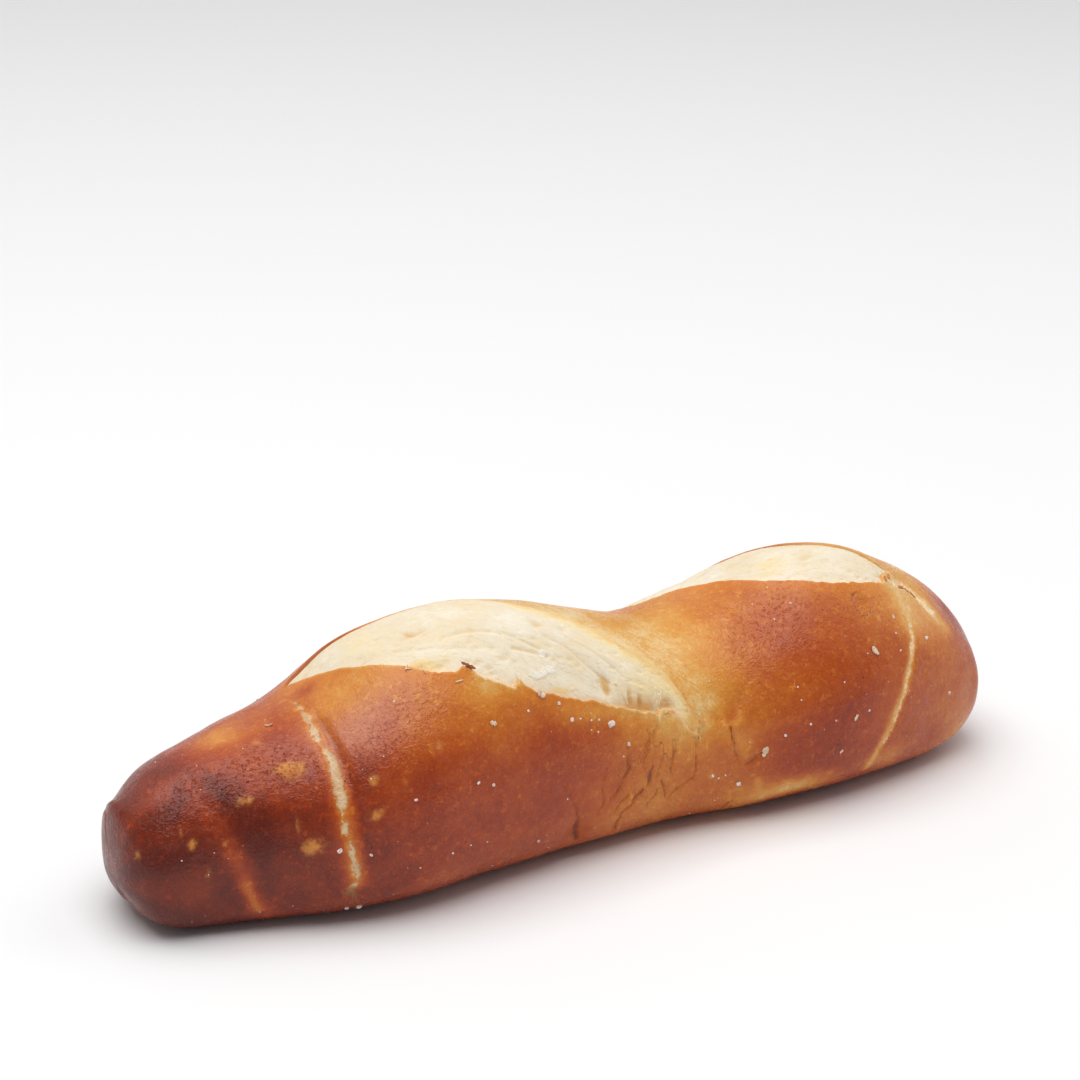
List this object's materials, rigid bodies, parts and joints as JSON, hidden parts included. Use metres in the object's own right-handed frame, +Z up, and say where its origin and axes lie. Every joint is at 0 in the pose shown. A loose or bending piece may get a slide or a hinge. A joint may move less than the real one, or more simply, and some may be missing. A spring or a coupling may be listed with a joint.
{
  "type": "pretzel roll",
  "caption": "Long baked roll with a glossy brown crust, blunt noses and slanting cuts that show pale crumb, resting on a flat underside.",
  "frame": {"origin": "middle of the footprint of the roll's bounding box, on the surface that it rests on", "axes": "+X along the roll towards its right nose, +Z up out of the surface it rests on, -Y towards the viewer"},
  "size_m": [0.2, 0.056, 0.0517],
  "materials": {
    "crust": "glossy baked crust, deep red-brown to golden",
    "crumb": "matt cream crumb, shown in the cuts",
    "salt": "coarse salt and dry flakes, off-white"
  },
  "bodies": {
    "root": {"pretzel_roll": "crust"}
  },
  "joints": []
}
